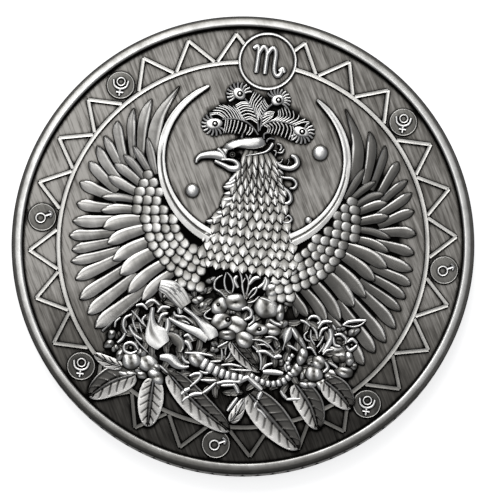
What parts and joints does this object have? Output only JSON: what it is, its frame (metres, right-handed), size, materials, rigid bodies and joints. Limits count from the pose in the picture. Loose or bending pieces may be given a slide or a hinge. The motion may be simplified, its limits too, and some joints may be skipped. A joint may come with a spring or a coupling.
{
  "type": "challenge coin",
  "caption": "Round antiqued silver challenge coin with a raised phoenix, crescent and bouquet inside a zigzag border, and a reeded edge.",
  "frame": {"origin": "centre of the reverse face, on the plane of the reverse rim that the coin lies on", "axes": "+Z out of the obverse along the coin's axis, +Y towards the large sign roundel at the top of the picture, +X to the right of the picture"},
  "size_m": [0.04, 0.04, 0.003],
  "materials": {
    "antiqued_field": "antique silver plate, brushed field with black patina",
    "polished_rim": "antique silver plate, rubbed bright, fine nicks",
    "brushed_relief": "antique silver plate, brushed, patina left in the grooves",
    "bright_relief": "antique silver plate, rubbed bright on top, patina at the foot"
  },
  "bodies": {
    "root": {"coin_blank": "antiqued_field", "obverse_rim": "polished_rim", "reverse_rim": "polished_rim", "obverse_ring": "bright_relief", "obverse_triangles": "bright_relief", "sign_roundel": "bright_relief", "scorpio_sign": "bright_relief", "planet_roundels": "antiqued_field", "mars_signs": "bright_relief", "pluto_signs": "bright_relief", "crescent": "bright_relief", "orbs": "bright_relief", "crest_plumes": "brushed_relief", "plume_eyes": "bright_relief", "crown": "bright_relief", "beak": "bright_relief", "eye": "antiqued_field", "neck": "bright_relief", "neck_feathers": "bright_relief", "nape_curls": "bright_relief", "left_primaries": "brushed_relief", "right_primaries": "brushed_relief", "left_coverts": "brushed_relief", "right_coverts": "brushed_relief", "left_shoulder": "antiqued_field", "right_shoulder": "antiqued_field", "left_scales": "bright_relief", "right_scales": "bright_relief", "middle_flowers": "bright_relief", "left_flower": "bright_relief", "right_flower": "bright_relief", "flower_hearts": "bright_relief", "flower_buds": "bright_relief", "flower_sprays": "brushed_relief", "leaves": "brushed_relief", "leaf_ribs": "bright_relief", "scorpion_body": "bright_relief", "scorpion_tail": "bright_relief", "scorpion_claws": "bright_relief", "scorpion_legs": "bright_relief", "reverse_ring": "bright_relief", "reverse_triangles": "bright_relief", "reverse_star": "bright_relief"}
  },
  "joints": []
}
